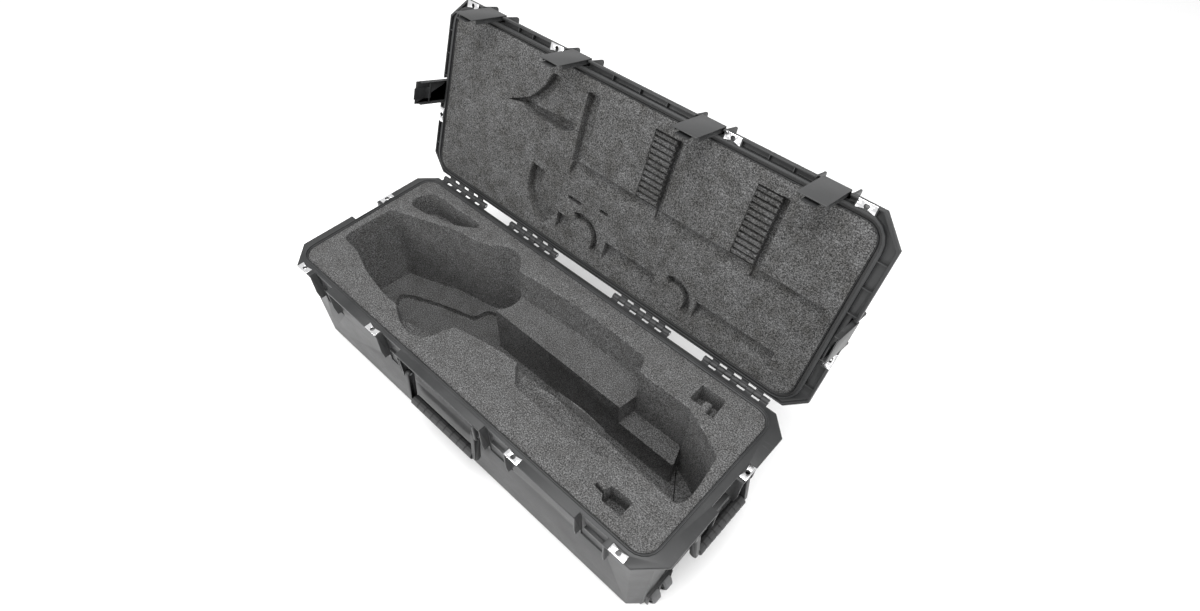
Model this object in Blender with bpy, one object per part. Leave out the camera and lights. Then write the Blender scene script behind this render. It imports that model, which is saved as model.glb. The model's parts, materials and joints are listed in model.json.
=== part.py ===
"""A long wheeled hard case for a telescope, lying open with its lid back on its hinges.

Metres, +Z up. X runs along the case with the wheels at +X, and the latches face -Y.
Heights inside this file count from the rim plane, where the base meets the closed lid.
Lid pieces are modelled closed, about the hinge axis, and their empty swings them open.
"""

import math

import bmesh
import bpy
from mathutils import Matrix, Vector

# Driving dimensions
FOAM_LENGTH = 0.927
FOAM_WIDTH = 0.338
FOAM_CORNER = 0.030
BASE_DEPTH = 0.240
LID_DEPTH = 0.062
LID_OPEN = math.radians(109.2)
FIT_GAP = 0.0003
RIM_GAP = 0.0006

# How far each outline stands outside the foam block: left, right, front, back
RIM = (0.023, 0.033, 0.025, 0.014)
WALL = (0.011, 0.011, 0.011, 0.009)
WALL_END = (0.0055, 0.0055, 0.0055, 0.0050)
CHANNEL_OUT = (0.0195, 0.0285, 0.0215, 0.0112)
CHANNEL_IN = (0.0120, 0.0120, 0.0125, 0.0090)
RIM_CHAMFER = 0.043
BACK_CHAMFER = 0.8
WALL_CHAMFER = 0.027
WALL_END_CHAMFER = 0.022
CORNER_STEPS = 5

FLANGE = 0.006
LID_FLANGE = 0.010
CHANNEL_TOP = 0.0080
EDGE = 0.0010
SKIN = 0.004
TONGUE_IN = 0.0030
TONGUE_OUT = 0.0050
TONGUE_TOP = 0.0035
GROOVE_IN = 0.0014
GROOVE_OUT = 0.0066
GROOVE_TOP = 0.0078
GASKET_LOW = 0.0048

LEFT_X = -FOAM_LENGTH / 2 - RIM[0]
RIGHT_X = FOAM_LENGTH / 2 + RIM[1]
FRONT_Y = -FOAM_WIDTH / 2 - RIM[2]
BACK_Y = FOAM_WIDTH / 2 + RIM[3]

# Hinges: four groups of knuckles on one axis level with the rim
HINGE_Y = 0.1926
HINGE_CENTRES = (-0.370, -0.149, 0.149, 0.370)
HINGE_LENGTH = 0.141
KNUCKLES = 9
KNUCKLE_RADIUS = 0.0055
HINGE_PIN_RADIUS = 0.0022

# Latches: a lever in a bay of the rim, and a trigger in it that hooks under a rib on the base
PIVOT_IN = 0.0060
PIVOT_UP = 0.0125
LATCH_HALF = 0.0240
LATCH_LENGTH = 0.0830
LATCH_TILT = {"front": -5.0, "left": 0.0, "right": 0.0}
LATCH_PIN_RADIUS = 0.0020
TRIGGER_PIN_RADIUS = 0.0015
TRIGGER_DOWN = 0.050
EAR_CENTRE = 0.0298
EAR_TOP = 0.045
EAR_ROUND = 0.007
FIN_THICK = 0.003
FIN_DEPTH = 0.073
# Fins stand either side of a bay, with room in front for a side lever to swing in
FIN_CENTRES = {"front": (-0.0310, 0.0310), "left": (-0.0310, 0.0375), "right": (-0.0375, 0.0310)}
BAY_IN = 0.0190
BAY_LOW = -0.090
NOTCH_IN = 0.0140
LID_NOTCH_IN = 0.0115
LID_NOTCH_HALF = 0.0278
CATCH_IN = {"front": 0.0136, "left": 0.0105, "right": 0.0105}
CATCH_HALF = 0.0205
CATCH_LOW = -0.051
CATCH_HIGH = -0.045

# Each station: name, place along its side, offset of the padlock plate, side
STATIONS = (
    ("front_latch_1", -0.369, -0.056, "front"),
    ("front_latch_2", -0.146, -0.048, "front"),
    ("front_latch_3", 0.146, 0.048, "front"),
    ("front_latch_4", 0.369, 0.056, "front"),
    ("left_latch", 0.005, 0.052, "left"),
    ("right_latch", 0.005, 0.052, "right"),
)
SIDES = {
    "front": (math.radians(0), RIM[2] - WALL[2]),
    "left": (math.radians(-90), RIM[0] - WALL[0]),
    "right": (math.radians(90), RIM[1] - WALL[1]),
}
PLATE_HALF = 0.0155
PLATE_DEPTH = 0.014
PLATE_THICK = 0.0012
PADLOCK_RADIUS = 0.0045

# Handles: name, side, place, half span, pivot (out, up), grip centre (out, up)
HANDLES = (
    ("front_handle", "front", 0.0, 0.093, (-0.006, -0.045), (0.002, -0.120)),
    ("end_handle", "right", -0.005, 0.068, (-0.009, -0.030), (0.000, -0.092)),
)
GRIP_RADIUS = 0.0105
GRIP_CORE = 0.0060
HUB_RADIUS = 0.0085
HUB_HALF = 0.005
HANDLE_PIN_RADIUS = 0.003

# Wheels: two pairs let into the right-hand bottom edge
WHEEL_X = 0.4650
WHEEL_Z = -0.2165
WHEEL_RADIUS = 0.0215
WHEEL_HALF = 0.010
WHEEL_SPREAD = 0.016
WHEEL_PAIRS = (("front", -0.118), ("rear", 0.102))
AXLE_RADIUS = 0.003
WELL_HALF = 0.0335
WELL_IN = 0.4365
WELL_TOP = -0.1895

ROUND = 12


def clear_scene():
    for old in list(bpy.data.objects):
        bpy.data.objects.remove(old, do_unlink=True)


def material(name, colour, roughness, metallic=0.0):
    made = bpy.data.materials.new(name)
    made.use_nodes = True
    shader = made.node_tree.nodes["Principled BSDF"]
    shader.inputs["Base Color"].default_value = (*colour, 1.0)
    shader.inputs["Roughness"].default_value = roughness
    shader.inputs["Metallic"].default_value = metallic
    made.diffuse_color = (*colour, 1.0)
    return made


def add_object(name, shape, look, parent=None, matrix=Matrix()):
    """Closes the shape into a named object under its parent."""
    bmesh.ops.recalc_face_normals(shape, faces=shape.faces)
    mesh = bpy.data.meshes.new(name)
    shape.to_mesh(mesh)
    shape.free()
    made = bpy.data.objects.new(name, mesh)
    bpy.context.scene.collection.objects.link(made)
    made.parent = parent
    made.matrix_local = matrix
    if look:
        mesh.materials.append(look)
    return made


def add_empty(name, parent, matrix):
    made = bpy.data.objects.new(name, None)
    bpy.context.scene.collection.objects.link(made)
    made.parent = parent
    made.matrix_local = matrix
    return made


def combine(target, shape, operation):
    """Cuts or joins a hidden helper shape with the target."""
    label = f"{target.name}_{operation.lower()}_{len(target.modifiers)}"
    helper = add_object(label, shape, None, target.parent)
    helper.hide_render = True
    helper.display_type = "WIRE"
    step = target.modifiers.new(helper.name, "BOOLEAN")
    step.operation = operation
    step.solver = "EXACT"
    step.object = helper


# Shapes


def add_box(shape, low, high, matrix=Matrix()):
    made = bmesh.ops.create_cube(shape, size=1.0)["verts"]
    size = [b - a for a, b in zip(low, high)]
    middle = [(a + b) / 2 for a, b in zip(low, high)]
    placed = matrix @ Matrix.Translation(middle) @ Matrix.Diagonal((*size, 1.0))
    bmesh.ops.transform(shape, matrix=placed, verts=made)


def add_rod(shape, start, end, radius, matrix=Matrix(), sides=ROUND):
    start = Vector(start)
    end = Vector(end)
    along = end - start
    turn = along.to_track_quat("Z", "Y").to_matrix().to_4x4()
    placed = matrix @ Matrix.Translation((start + end) / 2) @ turn
    bmesh.ops.create_cone(
        shape,
        cap_ends=True,
        segments=sides,
        radius1=radius,
        radius2=radius,
        depth=along.length,
        matrix=placed,
    )


def add_slab(shape, outline, low, high, matrix=Matrix()):
    """An outline in XY, raised from low to high."""
    floor = [shape.verts.new(matrix @ Vector((x, y, low))) for x, y in outline]
    roof = [shape.verts.new(matrix @ Vector((x, y, high))) for x, y in outline]
    shape.faces.new(floor)
    shape.faces.new(roof)
    for a in range(len(outline)):
        b = (a + 1) % len(outline)
        shape.faces.new((floor[a], floor[b], roof[b], roof[a]))


# Turns an outline drawn in (y, z) and raised along its own Z into one raised along X
SIDEWAYS = Matrix(((0, 0, 1, 0), (1, 0, 0, 0), (0, 1, 0, 0), (0, 0, 0, 1)))


def arc(centre, radius, start, end, steps):
    """Points on an arc, with the angles in degrees."""
    points = []
    for step in range(steps + 1):
        angle = math.radians(start + (end - start) * step / steps)
        points.append((centre[0] + radius * math.cos(angle), centre[1] + radius * math.sin(angle)))
    return points


def soft(corners, radius, steps=4):
    """The outline through these corners, each one rounded."""
    points = []
    for number, (x, y) in enumerate(corners):
        corner = Vector((x, y))
        before = Vector(corners[number - 1]) - corner
        after = Vector(corners[(number + 1) % len(corners)]) - corner
        reach = min(radius, before.length * 0.45, after.length * 0.45)
        start = corner + before.normalized() * reach
        end = corner + after.normalized() * reach
        for step in range(steps + 1):
            t = step / steps
            point = start.lerp(corner, t).lerp(corner.lerp(end, t), t)
            points.append((point.x, point.y))
    return points


def grown(grow, more):
    return tuple(side + more for side in grow)


def ring(grow, corner, rounded):
    """The outline that stands this far outside the foam block, with its corners cut or rounded."""
    left, right, front, back = grow
    x_low = -FOAM_LENGTH / 2 - left
    x_high = FOAM_LENGTH / 2 + right
    y_low = -FOAM_WIDTH / 2 - front
    y_high = FOAM_WIDTH / 2 + back
    behind = corner if rounded else corner * BACK_CHAMFER
    middles = (
        (x_high - corner, y_low + corner, corner),
        (x_high - behind, y_high - behind, behind),
        (x_low + behind, y_high - behind, behind),
        (x_low + corner, y_low + corner, corner),
    )
    points = []
    for number, (x, y, reach) in enumerate(middles):
        bend = arc((x, y), reach, 90 * number - 90, 90 * number, CORNER_STEPS)
        if not rounded:
            first = Vector(bend[0])
            last = Vector(bend[-1])
            bend = [first.lerp(last, step / CORNER_STEPS)[:] for step in range(CORNER_STEPS + 1)]
        points += bend
    return points


def band(offset):
    """A rounded outline at one even distance outside the foam."""
    return ring((offset,) * 4, FOAM_CORNER + offset, True)


def loft(sections):
    """A closed solid through outlines that all have the same number of points."""
    shape = bmesh.new()
    loops = [[shape.verts.new((x, y, z)) for x, y in outline] for outline, z in sections]
    count = len(loops[0])
    for low, high in zip(loops, loops[1:]):
        for a in range(count):
            b = (a + 1) % count
            shape.faces.new((low[a], low[b], high[b], high[a]))
    shape.faces.new(loops[0])
    shape.faces.new(loops[-1])
    return shape


def outer_sections(depth, radius, flange, rim_height):
    """The outside of a shell from its flat face to the top of its rim, with heights going down."""
    sections = []
    for angle in (0, 30, 60, 90):
        drop = radius * (1 - math.sin(math.radians(angle)))
        rise = radius * (1 - math.cos(math.radians(angle)))
        outline = ring(grown(WALL_END, -drop), WALL_END_CHAMFER, False)
        sections.append((outline, -depth + rise))
    sections.append((ring(WALL, WALL_CHAMFER, False), -flange))
    sections.append((ring(grown(RIM, -EDGE), RIM_CHAMFER, False), -flange))
    sections.append((ring(RIM, RIM_CHAMFER, False), -flange + EDGE))
    sections.append((ring(RIM, RIM_CHAMFER, False), -rim_height - EDGE))
    sections.append((ring(grown(RIM, -EDGE), RIM_CHAMFER, False), -rim_height))
    return sections


# Frames of the stations and handles


def side_frame(side, along):
    """A frame on the outer edge of the rim: its X runs along the side and its -Y points outwards."""
    spot = {
        "front": (along, FRONT_Y, 0.0),
        "left": (LEFT_X, along, 0.0),
        "right": (RIGHT_X, along, 0.0),
    }[side]
    return Matrix.Translation(spot) @ Matrix.Rotation(SIDES[side][0], 4, "Z")


def plate_offset(side, offset):
    return -offset if side == "left" else offset


def lid_frame(frame):
    """The same frame, counted from the hinge axis."""
    return Matrix.Translation((0, -HINGE_Y, 0)) @ frame


# Base


def knuckle_outline(lift):
    """Barrel and arm in (y, z), for the base with lift -1 and for the lid with lift 1."""
    inner = HINGE_Y - BACK_Y + 0.0025
    points = [(-inner, lift * 0.0048)]
    points += arc((0, 0), KNUCKLE_RADIUS, lift * 90, -lift * 188, 7)
    points.append((-inner, lift * 0.0009))
    return points


def add_knuckles(shape, lift, first, origin_y):
    pitch = HINGE_LENGTH / KNUCKLES
    turned = Matrix.Translation((0, origin_y, 0)) @ SIDEWAYS
    for centre in HINGE_CENTRES:
        for number in range(first, KNUCKLES, 2):
            start = centre - HINGE_LENGTH / 2 + number * pitch
            add_slab(shape, knuckle_outline(lift), start + FIT_GAP, start + pitch - FIT_GAP, turned)


def add_hinge_bores(shape, origin_y):
    for centre in HINGE_CENTRES:
        reach = HINGE_LENGTH / 2 + 0.002
        start = (centre - reach, origin_y, 0)
        end = (centre + reach, origin_y, 0)
        add_rod(shape, start, end, HINGE_PIN_RADIUS + FIT_GAP)


def add_base_fins(shape):
    """The two gussets of each latch bay."""
    for _, along, _, side in STATIONS:
        wall = SIDES[side][1]
        outline = [
            (wall + 0.003, -0.004),
            (0.0008, -0.004),
            (0.0008, -0.052),
            (0.004, -FIN_DEPTH),
            (wall + 0.003, -FIN_DEPTH),
        ]
        for centre in FIN_CENTRES[side]:
            start = centre - FIN_THICK / 2
            turned = side_frame(side, along) @ SIDEWAYS
            add_slab(shape, outline, start, start + FIN_THICK, turned)


def bay_ends(side):
    low, high = FIN_CENTRES[side]
    return low + FIN_THICK / 2, high - FIN_THICK / 2


def add_bays(shape):
    """The hollows behind the levers, let into the wall below the flange."""
    for _, along, _, side in STATIONS:
        low, high = bay_ends(side)
        frame = side_frame(side, along)
        add_box(shape, (low, -0.002, BAY_LOW), (high, BAY_IN, -FLANGE - EDGE), frame)


def add_catch_ribs(shape):
    """The ribs that the triggers hook under, narrow enough to pass between a lever's side walls."""
    for _, along, _, side in STATIONS:
        low = (-CATCH_HALF, CATCH_IN[side], CATCH_LOW)
        high = (CATCH_HALF, max(BAY_IN, SIDES[side][1]) + 0.0015, CATCH_HIGH)
        add_box(shape, low, high, side_frame(side, along))


def add_base_notches(shape):
    """Openings in the flange that the levers pass through, and the seats of the padlock plates."""
    for _, along, offset, side in STATIONS:
        low, high = bay_ends(side)
        frame = side_frame(side, along)
        add_box(shape, (low, -0.003, -0.010), (high, NOTCH_IN, 0.002), frame)
        add_plate_recess(shape, frame, plate_offset(side, offset), -1)


def add_plate_recess(shape, frame, offset, lift):
    """The pocket that a padlock plate lies in, and the hole under it."""
    start = RIM_GAP if lift > 0 else 0.0
    deep = start + lift * (PLATE_THICK + 2 * FIT_GAP)
    low = min(deep, start - lift * 0.002)
    high = max(deep, start - lift * 0.002)
    reach = PLATE_HALF + FIT_GAP
    add_box(shape, (offset - reach, -0.002, low), (offset + reach, PLATE_DEPTH + FIT_GAP, high), frame)


def add_padlock_holes(shape, lift):
    for _, along, offset, side in STATIONS:
        frame = side_frame(side, along)
        here = plate_offset(side, offset)
        start = (here, PLATE_DEPTH / 2, -0.004 * lift)
        add_rod(shape, start, (here, PLATE_DEPTH / 2, 0.016 * lift), PADLOCK_RADIUS - 0.0003, frame)


def add_handle_lugs(shape):
    for _, side, along, half, pivot, _ in HANDLES:
        wall = SIDES[side][1]
        outline = [(wall + 0.003, -0.004), (-pivot[0] - HUB_RADIUS, -0.004)]
        outline += arc((-pivot[0], pivot[1]), HUB_RADIUS, 180, 270, 5)
        outline.append((wall + 0.003, pivot[1] - HUB_RADIUS - 0.018))
        for hand in (-1, 1):
            start = half + HUB_HALF + 0.0005
            low, high = sorted((hand * start, hand * (start + 0.005)))
            add_slab(shape, outline, low, high, side_frame(side, along) @ SIDEWAYS)


def add_handle_bores(shape):
    for _, side, along, half, pivot, _ in HANDLES:
        for hand in (-1, 1):
            start = (hand * (half + HUB_HALF - 0.001), -pivot[0], pivot[1])
            end = (hand * (half + HUB_HALF + 0.010), -pivot[0], pivot[1])
            add_rod(shape, start, end, HANDLE_PIN_RADIUS + FIT_GAP, side_frame(side, along))


def add_well_walls(shape):
    for _, middle in WHEEL_PAIRS:
        reach = WELL_HALF + SKIN
        low = (WELL_IN - SKIN, middle - reach, -BASE_DEPTH + 0.002)
        add_box(shape, low, (0.4665, middle + reach, WELL_TOP + SKIN))


def add_wells(shape):
    for _, middle in WHEEL_PAIRS:
        low = (WELL_IN, middle - WELL_HALF, -BASE_DEPTH - 0.010)
        add_box(shape, low, (0.50, middle + WELL_HALF, WELL_TOP))


def make_base_shell(look, root):
    sections = outer_sections(BASE_DEPTH, 0.010, FLANGE, 0.0)
    sections += [
        (band(TONGUE_OUT), 0.0),
        (band(TONGUE_OUT), TONGUE_TOP),
        (band(TONGUE_IN), TONGUE_TOP),
        (band(TONGUE_IN), 0.0),
        (band(0.0005), 0.0),
        (band(0.0005), -BASE_DEPTH + SKIN),
    ]
    shell = add_object("base_shell", loft(sections), look, root)
    extras = bmesh.new()
    add_base_fins(extras)
    add_knuckles(extras, -1, 0, HINGE_Y)
    add_handle_lugs(extras)
    add_well_walls(extras)
    combine(shell, extras, "UNION")
    bays = bmesh.new()
    add_bays(bays)
    combine(shell, bays, "DIFFERENCE")
    ribs = bmesh.new()
    add_catch_ribs(ribs)
    combine(shell, ribs, "UNION")
    cuts = bmesh.new()
    add_base_notches(cuts)
    add_hinge_bores(cuts, HINGE_Y)
    add_handle_bores(cuts)
    add_wells(cuts)
    combine(shell, cuts, "DIFFERENCE")
    holes = bmesh.new()
    add_padlock_holes(holes, -1)
    combine(shell, holes, "DIFFERENCE")


# Foam in the base, with its cavities

TUB = (
    (-0.445, -0.080),
    (-0.446, -0.022),
    (-0.442, 0.044),
    (-0.370, 0.068),
    (-0.311, 0.092),
    (-0.234, 0.107),
    (-0.210, 0.112),
    (-0.169, 0.143),
    (-0.133, 0.142),
    (-0.112, 0.120),
    (-0.102, 0.104),
    (-0.100, 0.085),
    (-0.106, 0.062),
    (-0.118, 0.046),
    (-0.118, -0.060),
    (-0.104, -0.099),
    (-0.215, -0.118),
    (-0.258, -0.117),
    (-0.329, -0.105),
    (-0.390, -0.084),
)
BULGE = (
    (-0.215, -0.110),
    (-0.204, -0.124),
    (-0.171, -0.140),
    (-0.133, -0.145),
    (-0.104, -0.127),
    (-0.097, -0.099),
    (-0.086, -0.074),
    (-0.100, -0.070),
    (-0.150, -0.090),
)
TUB_FLOOR = (
    (-0.405, -0.015),
    (-0.376, 0.005),
    (-0.345, 0.018),
    (-0.305, 0.034),
    (-0.265, 0.047),
    (-0.222, 0.060),
    (-0.215, 0.095),
    (-0.160, 0.118),
    (-0.118, 0.095),
    (-0.122, 0.050),
    (-0.122, -0.060),
    (-0.135, -0.090),
    (-0.250, -0.095),
    (-0.360, -0.075),
)
SLOT = (
    (-0.122, 0.046),
    (0.364, 0.046),
    (0.349, 0.087),
    (0.392, 0.068),
    (0.436, 0.047),
    (0.444, 0.002),
    (0.448, -0.035),
    (0.446, -0.056),
    (0.434, -0.053),
    (0.343, -0.050),
    (0.216, -0.040),
    (0.098, -0.047),
    (0.018, -0.054),
    (-0.021, -0.060),
    (-0.086, -0.076),
    (-0.122, -0.078),
)
PLATFORM = (
    (-0.122, 0.043),
    (-0.118, 0.112),
    (-0.107, 0.109),
    (-0.019, 0.117),
    (0.067, 0.122),
    (0.153, 0.122),
    (0.222, 0.119),
    (0.235, 0.086),
    (0.243, 0.043),
)
SHELF = (
    (0.228, 0.043),
    (0.234, 0.0865),
    (0.350, 0.0885),
    (0.366, 0.043),
)
FRONT_LEDGE = (
    (0.058, -0.043),
    (0.062, -0.056),
    (0.092, -0.087),
    (0.145, -0.089),
    (0.208, -0.091),
    (0.284, -0.092),
    (0.294, -0.081),
    (0.350, -0.074),
    (0.354, -0.065),
    (0.440, -0.066),
    (0.447, -0.045),
)
SIDE_POCKET = (
    (-0.428, 0.082),
    (-0.436, 0.112),
    (-0.414, 0.141),
    (-0.266, 0.146),
    (-0.262, 0.134),
    (-0.300, 0.108),
    (-0.382, 0.086),
)
BACK_POCKET = (
    (0.334, 0.106),
    (0.334, 0.144),
    (0.384, 0.144),
    (0.388, 0.100),
    (0.372, 0.100),
    (0.372, 0.121),
    (0.358, 0.121),
    (0.358, 0.106),
)
FRONT_POCKET = (
    (0.324, -0.131),
    (0.324, -0.124),
    (0.342, -0.127),
    (0.346, -0.113),
    (0.389, -0.111),
    (0.389, -0.142),
    (0.350, -0.142),
    (0.344, -0.133),
)
TUB_DEPTH = 0.205
TUB_FLOOR_DEPTH = 0.219
SLOT_DEPTH = 0.206
BULGE_DEPTH = 0.045
PLATFORM_DEPTH = 0.082
SHELF_DEPTH = 0.135
LEDGE_DEPTH = 0.030
SIDE_POCKET_DEPTH = 0.062
BACK_POCKET_DEPTH = 0.045
FRONT_POCKET_DEPTH = 0.048
ABOVE = 0.010
FOAM_SPLIT_X = -0.085
FOAM_SPLIT_Y = -0.025


def make_base_foam(look, root):
    """The foam is glued up from four blocks that meet in the middle of its deepest cavities."""
    edge = FIT_GAP / 2
    wide = 1.0
    ends_x = {"left": (-wide, FOAM_SPLIT_X - edge), "right": (FOAM_SPLIT_X + edge, wide)}
    ends_y = {"front": (-wide, FOAM_SPLIT_Y - edge), "back": (FOAM_SPLIT_Y + edge, wide)}
    for row, (y_low, y_high) in ends_y.items():
        for column, (x_low, x_high) in ends_x.items():
            foam = make_whole_foam(f"base_foam_{row}_{column}", look, root)
            block = bmesh.new()
            add_box(block, (x_low, y_low, -BASE_DEPTH), (x_high, y_high, ABOVE * 2))
            combine(foam, block, "INTERSECT")


def make_whole_foam(name, look, root):
    bottom = -BASE_DEPTH + SKIN + 0.0005
    sections = [(band(-0.002), bottom), (band(0.0), bottom + 0.004)]
    sections += [(band(0.0), -0.0020), (band(-0.001), -0.0008)]
    foam = add_object(name, loft(sections), look, root)
    layers = (
        ((soft(TUB, 0.012), TUB_DEPTH), (SHELF, SHELF_DEPTH), (BACK_POCKET, BACK_POCKET_DEPTH)),
        ((soft(SLOT, 0.008), SLOT_DEPTH),),
        ((soft(PLATFORM, 0.008), PLATFORM_DEPTH), (soft(FRONT_LEDGE, 0.008), LEDGE_DEPTH)),
        ((soft(TUB_FLOOR, 0.012), TUB_FLOOR_DEPTH), (soft(SIDE_POCKET, 0.012), SIDE_POCKET_DEPTH)),
        ((soft(BULGE, 0.012), BULGE_DEPTH), (FRONT_POCKET, FRONT_POCKET_DEPTH)),
    )
    for layer in layers:
        hollows = bmesh.new()
        for outline, depth in layer:
            add_slab(hollows, outline, -depth, ABOVE)
        combine(foam, hollows, "DIFFERENCE")
    wells = bmesh.new()
    for _, middle in WHEEL_PAIRS:
        reach = WELL_HALF + SKIN + 0.0005
        low = (WELL_IN - SKIN - 0.0005, middle - reach, -BASE_DEPTH)
        add_box(wells, low, (0.48, middle + reach, WELL_TOP + SKIN + 0.0005))
    combine(foam, wells, "DIFFERENCE")
    return foam


# Lid


def add_ears(shape):
    """The two rounded ears that hold each latch pin."""
    for _, along, _, side in STATIONS:
        wall = SIDES[side][1]
        outline = [(wall + 0.003, LID_FLANGE - 0.002), (0.0003, LID_FLANGE - 0.0015)]
        outline += arc((0.0003 + EAR_ROUND, EAR_TOP - EAR_ROUND), EAR_ROUND, 180, 90, 5)
        outline.append((wall + 0.006, EAR_TOP))
        for hand in (-1, 1):
            start = hand * EAR_CENTRE - FIN_THICK / 2
            frame = lid_frame(side_frame(side, along))
            add_slab(shape, outline, start, start + FIN_THICK, frame @ SIDEWAYS)


def add_plate_seats(shape):
    for _, along, offset, side in STATIONS:
        frame = lid_frame(side_frame(side, along))
        here = plate_offset(side, offset)
        reach = PLATE_HALF + 0.002
        low = (here - reach, 0.0012, RIM_GAP + 0.0003)
        add_box(shape, low, (here + reach, 0.0155, LID_FLANGE - 0.001), frame)


def make_lid_shell(look, hinge):
    sections = outer_sections(LID_DEPTH, 0.014, LID_FLANGE, RIM_GAP)
    sections += [
        (ring(CHANNEL_OUT, RIM_CHAMFER, False), -RIM_GAP),
        (ring(CHANNEL_OUT, RIM_CHAMFER, False), -CHANNEL_TOP),
        (ring(CHANNEL_IN, RIM_CHAMFER + EDGE * 3, True), -CHANNEL_TOP),
        (ring(CHANNEL_IN, RIM_CHAMFER + EDGE * 3, True), -RIM_GAP),
        (band(GROOVE_OUT), -RIM_GAP),
        (band(GROOVE_OUT), -GROOVE_TOP),
        (band(GROOVE_IN), -GROOVE_TOP),
        (band(GROOVE_IN), -RIM_GAP),
        (band(0.0005), -RIM_GAP),
        (band(0.0005), -LID_DEPTH + SKIN),
    ]
    shape = loft([(outline, -height) for outline, height in sections])
    bmesh.ops.translate(shape, vec=(0, -HINGE_Y, 0), verts=shape.verts)
    shell = add_object("lid_shell", shape, look, hinge)
    extras = bmesh.new()
    add_knuckles(extras, 1, 1, 0.0)
    add_ears(extras)
    combine(shell, extras, "UNION")
    seats = bmesh.new()
    add_plate_seats(seats)
    combine(shell, seats, "UNION")
    cuts = bmesh.new()
    add_hinge_bores(cuts, 0.0)
    for _, along, offset, side in STATIONS:
        frame = lid_frame(side_frame(side, along))
        add_plate_recess(cuts, frame, plate_offset(side, offset), 1)
        add_box(cuts, (-LID_NOTCH_HALF, -0.002, -0.002), (LID_NOTCH_HALF, LID_NOTCH_IN, PIVOT_UP), frame)
        reach = EAR_CENTRE + 0.004
        start = (-reach, PIVOT_IN, PIVOT_UP)
        add_rod(cuts, start, (reach, PIVOT_IN, PIVOT_UP), LATCH_PIN_RADIUS + FIT_GAP, frame)
    combine(shell, cuts, "DIFFERENCE")
    holes = bmesh.new()
    for _, along, offset, side in STATIONS:
        frame = lid_frame(side_frame(side, along))
        here = plate_offset(side, offset)
        start = (here, PLATE_DEPTH / 2, -0.002)
        add_rod(holes, start, (here, PLATE_DEPTH / 2, 0.013), PADLOCK_RADIUS - 0.0003, frame)
    combine(shell, holes, "DIFFERENCE")


def make_gasket(look, hinge):
    shape = bmesh.new()
    inner = GROOVE_IN + 0.0006
    outer = GROOVE_OUT - 0.0006
    top = GROOVE_TOP - FIT_GAP
    corners = ((inner, GASKET_LOW), (outer, GASKET_LOW), (outer, top), (inner, top))
    loops = [[shape.verts.new((x, y - HINGE_Y, z)) for x, y in band(offset)] for offset, z in corners]
    count = len(loops[0])
    for a in range(count):
        b = (a + 1) % count
        for low, high in zip(loops, loops[1:] + loops[:1]):
            shape.faces.new((low[a], low[b], high[b], high[a]))
    add_object("lid_gasket", shape, look, hinge)


# Foam in the lid, with the fitted recesses

STAIR_STARTS = (0.055, 0.262)
STAIR_WIDTH = 0.046
STAIR_SIDE = 0.014
STAIR_LOW = -0.143
STAIR_HIGH = 0.006
STAIR_STEPS = 14


def stair_outline():
    """A saw-tooth floor in (y, z) that leaves ridges standing in its recess."""
    pitch = (STAIR_HIGH - STAIR_LOW) / STAIR_STEPS
    points = [(STAIR_HIGH, -0.01), (STAIR_LOW, -0.01)]
    for number in range(STAIR_STEPS):
        start = STAIR_LOW + number * pitch
        points.append((start, 0.0120))
        points.append((start + pitch * 0.30, 0.0120))
        points.append((start + pitch * 0.42, 0.0045))
        points.append((start + pitch, 0.0060))
    return points


def make_lid_foam(look, hinge):
    top = LID_DEPTH - SKIN - 0.0005
    low = RIM_GAP + 0.0008
    sections = [(band(-0.001), low), (band(0.0), low + 0.0012)]
    sections += [(band(0.0), top - 0.004), (band(-0.003), top)]
    shape = loft(sections)
    bmesh.ops.translate(shape, vec=(0, -HINGE_Y, 0), verts=shape.verts)
    foam = add_object("lid_foam", shape, look, hinge)
    down = Matrix.Translation((0, -HINGE_Y, 0))
    first = bmesh.new()
    blade = [(-0.293, -0.054), (-0.236, -0.080), (-0.206, -0.112), (-0.190, -0.145), (-0.168, -0.143)]
    blade += [(-0.190, -0.098), (-0.225, -0.068)]
    add_slab(first, soft(blade, 0.008), -0.01, 0.018, down)
    shaft = [(-0.262, -0.064), (-0.240, -0.071), (-0.120, -0.078)]
    shaft += [(-0.115, -0.064), (-0.140, -0.053), (-0.230, -0.054)]
    shaft_cut = bmesh.new()
    add_slab(shaft_cut, soft(shaft, 0.004), -0.01, 0.022, down)
    add_box(first, (-0.102, -0.144, -0.01), (-0.072, -0.008, 0.019), down)
    for start in STAIR_STARTS:
        turned = Matrix.Translation((0, -HINGE_Y, 0)) @ SIDEWAYS
        add_slab(first, stair_outline(), start, start + STAIR_WIDTH, turned)
    arch = arc((-0.122, 0.070), 0.076, 100, 205, 10)
    arch += arc((-0.115, 0.062), 0.048, 205, 85, 10)
    add_slab(first, arch, -0.01, 0.020, down)
    add_box(first, (-0.089, 0.057, -0.01), (-0.055, 0.065, 0.014), down)
    add_box(first, (-0.009, 0.047, -0.01), (0.011, 0.054, 0.014), down)
    combine(foam, first, "DIFFERENCE")
    combine(foam, shaft_cut, "DIFFERENCE")
    second = bmesh.new()
    add_rod(second, (-0.100, 0.0, -0.002), (0.446, 0.0, -0.002), 0.0165, down, 24)
    for start, end in ((-0.104, -0.074), (0.024, 0.148), (0.244, 0.408)):
        add_rod(second, (start, 0.120, -0.002), (end, 0.120, -0.002), 0.0185, down, 24)
    combine(foam, second, "DIFFERENCE")
    third = bmesh.new()
    for start in STAIR_STARTS:
        side = start + STAIR_WIDTH - 0.001
        add_box(third, (side, STAIR_LOW, -0.01), (side + STAIR_SIDE, STAIR_HIGH + 0.004, 0.020), down)
    for centre, radius in ((-0.042, 0.034), (0.192, 0.028)):
        curl = arc((centre, 0.126), radius + 0.014, -20, 120, 9)
        curl += arc((centre, 0.126), radius, 120, -20, 9)
        add_slab(third, [(x, 0.252 - y) for x, y in curl], -0.01, 0.018, down)
    combine(foam, third, "DIFFERENCE")


# Moving fittings


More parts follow.
